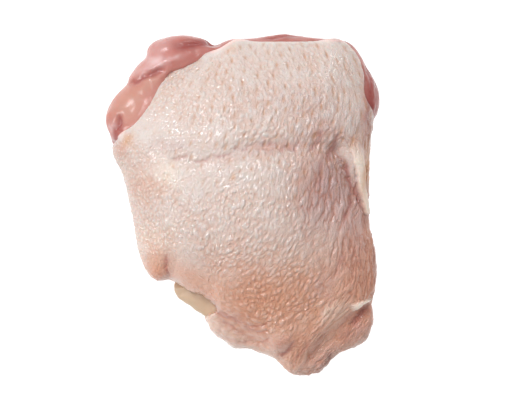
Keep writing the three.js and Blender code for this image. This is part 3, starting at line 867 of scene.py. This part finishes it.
# Lines on the meat: half width and height (mm), how darkly its groove is painted with shade, and its pixels.
MEAT_LINES = [
    (1.2, -0.9, 0.9, [(124, 85), (131, 83), (139, 80.5), (147, 76.5), (156, 72), (168, 67)]),
    (1.6, -0.9, 0.9, [(172, 48), (179, 46.5), (190, 45), (200, 43.5), (212, 43), (222, 42)]),
    (0.9, 0.5, 0.0, [(136, 73), (146, 72), (156, 68), (166, 62), (180, 60)]),
    (1.3, -1.0, 1.0, [(118, 112), (119.5, 120), (118, 130), (115, 140), (114, 146)]),
    (0.9, 0.6, 0.0, [(108, 122), (112, 125), (114, 131), (112, 139)]),
    (0.9, -0.7, 0.9, [(366, 58), (369, 72), (371, 84), (370, 98), (372, 112), (371, 124)]),
    (0.8, -0.5, 0.7, [(374, 76), (377, 90), (377, 104), (375, 118)]),
    (0.7, -0.4, 0.7, [(262, 39), (275, 37), (288, 36), (302, 35)]),
]
# Tints on the meat, laid out as the skin's are; some rows are painted shade and painted highlights.
MEAT_TINTS = [
    ("salmon", 128, 104, 9, 8, 60, 0.9),
    ("salmon", 150, 84, 6, 3, 30, 0.8),
    # The first three membrane rows are painted highlights: pale patches where the muscles' glints are. The
    # last two are pale membrane.
    ("membrane_and_highlight", 156, 61, 3.2, 2.4, 30, 1.0),
    ("membrane_and_highlight", 143, 71, 4, 2, 30, 0.5),
    ("membrane_and_highlight", 172, 59, 4, 1.0, 20, 0.5),
    ("membrane_and_highlight", 162, 45, 5, 3, 20, 0.35),
    ("membrane_and_highlight", 112, 126, 2, 1.6, 60, 0.6),
    # The dark rows are darker red meat, and partly painted shade: in the sunken groove at 195, 44 and along
    # the skin's top edge at 285, 37 and 340, 40.
    ("dark", 195, 44, 9, 2.0, 5, 0.7),
    ("dark", 115, 138, 4, 2, 70, 0.7),
    ("dark", 372, 98, 15, 3.4, 88, 1.0),
    ("dark", 285, 37, 12, 1.5, 5, 0.6),
    ("dark", 340, 40, 9, 2.0, 0, 0.8),
]

FAT_ROUNDS = 8
FAT_LUMPS = [(0.35, 5.0, 41), (0.12, 1.8, 42)]
# How far the fat is raised (mm), in full where it faces up at least this much.
FAT_RAISED = 2.1
FAT_FACES_UP = 0.5


def squares_of(places):
    """Each place's square on the grid, and whether it is on the grid."""
    square = np.floor((places[:, :2] - GRID_CORNER) / GRID_STEP).astype(int)
    return square, ((square >= 0) & (square < GRID_SQUARES)).all(1)


def top_heights(places):
    """The highest place over each square of the grid, BELOW_ALL where there is none."""
    square, inside = squares_of(places)
    heights = np.full(GRID_SQUARES, BELOW_ALL)
    np.maximum.at(heights, tuple(square[inside].T), places[inside, 2])
    return heights


def widened(heights, reach, best):
    """Each square's highest or lowest neighbour within reach squares."""
    padded = np.pad(heights, reach, constant_values=BELOW_ALL if best is np.maximum else ABOVE_ALL)
    made = heights.copy()
    rows, columns = heights.shape
    for i in range(-reach, reach + 1):
        for j in range(-reach, reach + 1):
            if i * i + j * j <= reach * reach:
                made = best(made, padded[reach + i:reach + i + rows, reach + j:reach + j + columns])
    return made


def filled(places, normals, cover, skin_places):
    """The meat's places, with the hollows between its muscles and along the skin's cut edge filled."""
    ground = top_heights(np.concatenate([places, skin_places]))
    closed = widened(widened(ground, FILL_REACH, np.maximum), FILL_REACH, np.minimum)
    for _ in range(FILL_ROUNDS):
        closed = (closed + np.roll(closed, 1, 0) + np.roll(closed, -1, 0) + np.roll(closed, 1, 1)
                  + np.roll(closed, -1, 1)) / 5
    square, inside = squares_of(places)
    target = np.full(len(places), BELOW_ALL)
    target[inside] = closed[tuple(square[inside].T)]
    bare = np.array([cover.ray_cast((Vector(p) + LOOK_FROM) * MM, UP)[0] is None for p in places.tolist()])
    tucked = np.zeros(len(places), bool)
    tucked[from_path(places, CUT_EDGE, TUCKED)[0]] = True
    target -= np.where(bare, FILL_BELOW, TUCKED_BELOW)
    raised = (bare | tucked) & (normals[:, 2] > 0.0) & inside & (target > places[:, 2])
    made = places.copy()
    made[raised, 2] = target[raised]
    return made


def meat_piece():
    """The meat, its hollows filled, with lines between the muscles that show and painted shade in their
    grooves.
    """
    cover = surface_of("skin")
    piece = copy_of("meat", "thigh_meat")
    remesh(piece, MEAT_VOXEL)
    put_places(piece, filled(places_of(piece), normals_of(piece), cover, places_of(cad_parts["skin"])))
    remesh(piece, MEAT_VOXEL)
    shown = soft_step(*MEAT_SMOOTHED, gap_to(cover, places_of(piece)))
    apply(piece, "SMOOTH", factor=0.5, iterations=MEAT_ROUNDS, vertex_group=group(piece, "shown", shown))
    apply(piece, "DECIMATE", ratio=MEAT_KEPT, vertex_group=group(piece, "hidden", 1 - shown))
    places, normals = places_of(piece), normals_of(piece)
    relief = lumps(places, MEAT_LUMPS)
    # Painted shade for the grooves pressed into the meat.
    dark = np.zeros(len(places))
    wavy = places + shifts(places, MEAT_SHIFTS)
    press(MEAT_LINES, wavy, MEAT_LINE_FADES, normals[:, 2] > 0, relief, dark)
    relief *= soft_step(*MEAT_SHOWN, gap_to(cover, places)) * soft_step(*OFF_FLOOR, places[:, 2])
    put_places(piece, above_floor(places + normals * relief[:, None]))
    tinted(piece, places, MEAT_TINTS)
    paint(piece, "painted_groove_shade", dark)
    return piece


def fat_piece():
    """The fat, drawn outwards and raised, so that it meets the skin's hem."""
    piece = copy_of("fat", "thigh_fat")
    apply(piece, "SUBSURF", levels=1, render_levels=1)
    remesh(piece, FAT_VOXEL)
    apply(piece, "SMOOTH", factor=0.5, iterations=FAT_ROUNDS)
    places = pulled(places_of(piece), FAT_PULLS)
    normals = normals_of(piece)
    relief = lumps(places, FAT_LUMPS) * soft_step(*OFF_FLOOR, places[:, 2])
    places = places + normals * relief[:, None]
    places[:, 2] += FAT_RAISED * soft_step(0.0, FAT_FACES_UP, normals[:, 2])
    put_places(piece, above_floor(places))
    return piece


# ------------------------ materials
class Value:
    """A socket that sums and products can be written with."""

    def __init__(self, finish, socket):
        self.finish, self.socket = finish, socket

    def maths(self, operation, other):
        """This and the other value, a socket or a number, put together."""
        return self.finish.node("ShaderNodeMath", {"operation": operation}, {0: self, 1: other})

    def __add__(self, other):
        return self.maths("ADD", other)

    def __mul__(self, other):
        return self.maths("MULTIPLY", other)

    __radd__ = __add__
    __rmul__ = __mul__


class Finish:
    """A material whose nodes are added by one method."""

    def __init__(self, name):
        self.material = bpy.data.materials.new(name)
        self.material.use_nodes = True
        self.tree = self.material.node_tree
        self.surface = self.tree.nodes["Principled BSDF"]

    def node(self, kind, settings, inputs, output=0):
        """A new node: its type, then its settings, then its sockets."""
        made = self.tree.nodes.new(kind)
        for name, value in settings.items():
            setattr(made, name, value)
        for name, value in inputs.items():
            self.feed(made.inputs[name], value)
        return Value(self, made.outputs[output])

    def feed(self, socket, value):
        """Links a value to the socket, or sets it to a constant."""
        if isinstance(value, Value):
            self.tree.links.new(value.socket, socket)
        else:
            socket.default_value = value

    def painted(self, name):
        """What is painted on the mesh under this name."""
        return self.node("ShaderNodeAttribute", {"attribute_name": name}, {}, "Fac")

    def places(self):
        """Where a point is on its piece, in metres."""
        return self.node("ShaderNodeTexCoord", {}, {}, "Object")

    def mottle(self, size, detail=2.0):
        """Noise between 0 and 1 whose blots are size mm across."""
        return self.node("ShaderNodeTexNoise", {}, {"Vector": self.places(), "Scale": 1 / (size * MM),
                                                    "Detail": detail})

    def streaks(self, way, long, wide):
        """Noise drawn out along one way (degrees), long by wide mm."""
        turned = self.node("ShaderNodeMapping", {"vector_type": "TEXTURE"},
                           {"Vector": self.places(), "Rotation": (0, 0, math.radians(way)),
                            "Scale": (long * MM, wide * MM, wide * MM)})
        return self.node("ShaderNodeTexNoise", {}, {"Vector": turned, "Scale": 1.0, "Detail": 2.0})

    def bump(self, strength, height, values):
        """Fine relief from these values, height mm high."""
        return self.node("ShaderNodeBump", {}, {"Strength": strength, "Distance": height * MM,
                                                "Height": values})

    def mix(self, share, a, b):
        """Colour a, with its share of colour b."""
        return self.node("ShaderNodeMix", {"data_type": "RGBA"}, {0: share, 6: a, 7: b}, 2)

    def tinted(self, base, rows):
        """The base colour with the painted tints laid over it, one after another."""
        for name, strength, tint in rows:
            base = self.mix(self.painted(name) * strength, base, colour(*tint))
        return base

    def set(self, **inputs):
        """Feeds the material's own sockets, with _ for each space in a name."""
        for name, value in inputs.items():
            self.feed(self.surface.inputs[name.replace("_", " ")], value)


def colour(red, green, blue):
    """A display colour, 0 to 255, as the shader's linear one."""
    linear = [((c / 255 + 0.055) / 1.055) ** 2.4 if c > 10 else c / 255 / 12.92 for c in (red, green, blue)]
    return (*linear, 1.0)


# Each row: what is painted, how strongly, and its colour. The skin's lie below and above its valleys' colour.
SKIN_COLOURS_BELOW = [
    ("rosy", 0.8, (186, 131, 123)),
    ("peach", 0.85, (214, 150, 118)),
    ("lilac", 0.7, (183, 155, 156)),
    ("pale", 0.9, (242, 228, 212)),
]
SKIN_COLOURS_ABOVE = [
    # Red-brown in the creases and grooves: partly the skin's own red, partly painted shade.
    ("reddened", 0.7, (168, 88, 76)),
    ("pore", 0.8, (190, 134, 94)),
    # Dark painted shade.
    ("painted_shade", 0.9, (132, 76, 66)),
    ("bright", 0.9, (242, 224, 208)),
    ("tan", 0.8, (205, 150, 108)),
    ("rim", 0.8, (244, 204, 196)),
]
MEAT_COLOURS = [
    ("salmon", 0.85, (197, 148, 130)),
    # Pale membrane, and painted highlights.
    ("membrane_and_highlight", 0.8, (224, 196, 194)),
    # Darker meat, and partly painted shade.
    ("dark", 0.8, (148, 74, 68)),
    # Painted shade in the meat's grooves.
    ("painted_groove_shade", 0.8, (150, 66, 62)),
]


def skin_finish():
    """Raw skin: cream, tinted where it is painted (partly painted shade and painted highlights), with fine
    streaks, under a wet coat.
    """
    f = Finish("wet_raw_skin")
    base = f.mix(f.mottle(9.0), colour(219, 209, 203), colour(216, 200, 192))
    base = f.mix(f.mottle(2.6, 3.0) * 0.4, base, colour(206, 184, 172))
    base = f.tinted(base, SKIN_COLOURS_BELOW)
    # The valleys between the beads are painted a darker tan: partly the skin's own tan and partly painted
    # shade.
    depth = f.painted("peach") * 0.35 + f.painted("rosy") * 0.2 + 0.33
    base = f.mix(f.painted("valley") * depth, base, colour(202, 140, 108))
    base = f.tinted(base, SKIN_COLOURS_ABOVE)
    fine = f.mottle(0.7, 3.0) * 0.55
    for name, way in STREAK_WAYS.items():
        fine = fine + f.painted(name) * f.streaks(way, STREAK_LONG, STREAK_WIDE)
    wet = f.mottle(2.4)
    f.set(Base_Color=base, Roughness=0.34 + wet * 0.14, IOR=1.4, Normal=f.bump(1.0, STREAK_HEIGHT, fine),
          Subsurface_Weight=0.2, Subsurface_Radius=(1.0, 0.4, 0.25), Subsurface_Scale=0.9 * MM,
          Coat_Weight=0.6 + wet * 0.4, Coat_Roughness=0.08, Coat_IOR=1.4)
    return f.material


def meat_finish():
    """Raw meat: mottled pink, tinted where it is painted, with painted shade in its grooves and painted
    highlights, under a thinner wet coat.
    """
    f = Finish("wet_raw_meat")
    base = f.mix(f.mottle(6.0, 4.0), colour(179, 107, 100), colour(192, 130, 118))
    base = f.tinted(base, MEAT_COLOURS)
    f.set(Base_Color=base, Roughness=0.3, IOR=1.4, Normal=f.bump(0.12, 0.4, f.mottle(1.5, 3.0)),
          Subsurface_Weight=0.25, Subsurface_Radius=(1.0, 0.3, 0.2), Subsurface_Scale=1.2 * MM,
          Coat_Weight=0.45, Coat_Roughness=0.24, Coat_IOR=1.4)
    return f.material


def fat_finish():
    """Soft cream-coloured fat."""
    f = Finish("soft_fat")
    base = f.mix(f.mottle(4.0), colour(207, 181, 154), colour(198, 170, 143))
    f.set(Base_Color=base, Roughness=0.4, IOR=1.4, Subsurface_Weight=0.3,
          Subsurface_Radius=(1.0, 0.7, 0.45), Subsurface_Scale=1.5 * MM, Coat_Weight=0.3,
          Coat_Roughness=0.2, Coat_IOR=1.4)
    return f.material


def dress(piece, node, material):
    """Gives the piece its material, hangs it from the root body, and hides the solid that it stands for."""
    piece.data.materials.append(material)
    alone(piece)
    bpy.ops.object.shade_smooth()
    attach(piece, "root")
    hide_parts(node)


# ------------------------ the floor, the lights and the camera
FLOOR_SIZE = 4.0
# The floor is a grey that glows, which leaves it nearly white with soft shadows.
FLOOR_GREY, FLOOR_GLOW = 150, 0.95
SKY_STRENGTH = 0.43
WHITE, COOL = (1, 1, 1), (0.93, 0.96, 1.0)
# Each light: name, place (m), width and length (m), power (W) and tint. All of them point at the thigh.
SOFTBOXES = [
    ("key", (-0.5, 0.5, 0.8), (0.22, 0.22), 3.9, COOL),
    ("over", (-0.22, 0.16, 1.1), (0.2, 0.2), 2.2, COOL),
    ("top", (0.12, 0.4, 1.0), (0.2, 0.2), 1.2, WHITE),
    ("left", (-0.75, -0.15, 0.6), (0.15, 0.3), 2.3, WHITE),
    ("low", (0.02, -0.42, 0.95), (0.12, 0.12), 0.25, COOL),
    ("back", (0.45, 0.75, 0.6), (0.3, 0.15), 1.2, WHITE),
]
# The camera's height (m), the height on the thigh where a pixel is PIXEL wide (mm), and the sensor (mm).
CAMERA_HEIGHT = 1.25
SEEN_HEIGHT = 15.0
SENSOR = 36


def stage():
    """The floor."""
    bpy.ops.mesh.primitive_plane_add(size=FLOOR_SIZE, location=(0, 0, 0))
    floor = bpy.context.active_object
    floor.name = "floor"
    f = Finish("pale_floor")
    f.set(Base_Color=colour(FLOOR_GREY, FLOOR_GREY, FLOOR_GREY), Roughness=0.9,
          Emission_Color=(1, 1, 1, 1), Emission_Strength=FLOOR_GLOW)
    floor.data.materials.append(f.material)


def softbox(name, at, size, power, tint):
    """A soft light that points at the thigh."""
    bpy.ops.object.light_add(type="AREA", location=at)
    lamp = bpy.context.active_object
    lamp.name = name
    lamp.rotation_euler = (-Vector(at)).to_track_quat("-Z", "Y").to_euler()
    lamp.data.shape = "RECTANGLE"
    lamp.data.size, lamp.data.size_y = size
    lamp.data.energy = power
    lamp.data.color = tint


def lights():
    """A pale sky and the soft lights."""
    world = bpy.data.worlds.new("studio")
    bpy.context.scene.world = world
    world.use_nodes = True
    sky = world.node_tree.nodes["Background"]
    sky.inputs["Color"].default_value = (1, 1, 1, 1)
    sky.inputs["Strength"].default_value = SKY_STRENGTH
    for box in SOFTBOXES:
        softbox(*box)
    bpy.context.scene.view_settings.view_transform = "Standard"


def camera():
    """The photograph's camera, which looks straight down."""
    across = FRAME_PIXELS[0] * PIXEL * MM
    x, y = place((FRAME_PIXELS[0] / 2, FRAME_PIXELS[1] / 2))
    bpy.ops.object.camera_add(location=(x * MM, y * MM, CAMERA_HEIGHT), rotation=(0, 0, 0))
    made = bpy.context.active_object
    made.data.sensor_width = SENSOR
    made.data.lens = SENSOR * (CAMERA_HEIGHT - SEEN_HEIGHT * MM) / across
    bpy.context.scene.camera = made


dress(skin_piece(), "skin", skin_finish())
dress(meat_piece(), "meat", meat_finish())
dress(fat_piece(), "fat", fat_finish())
stage()
lights()
camera()
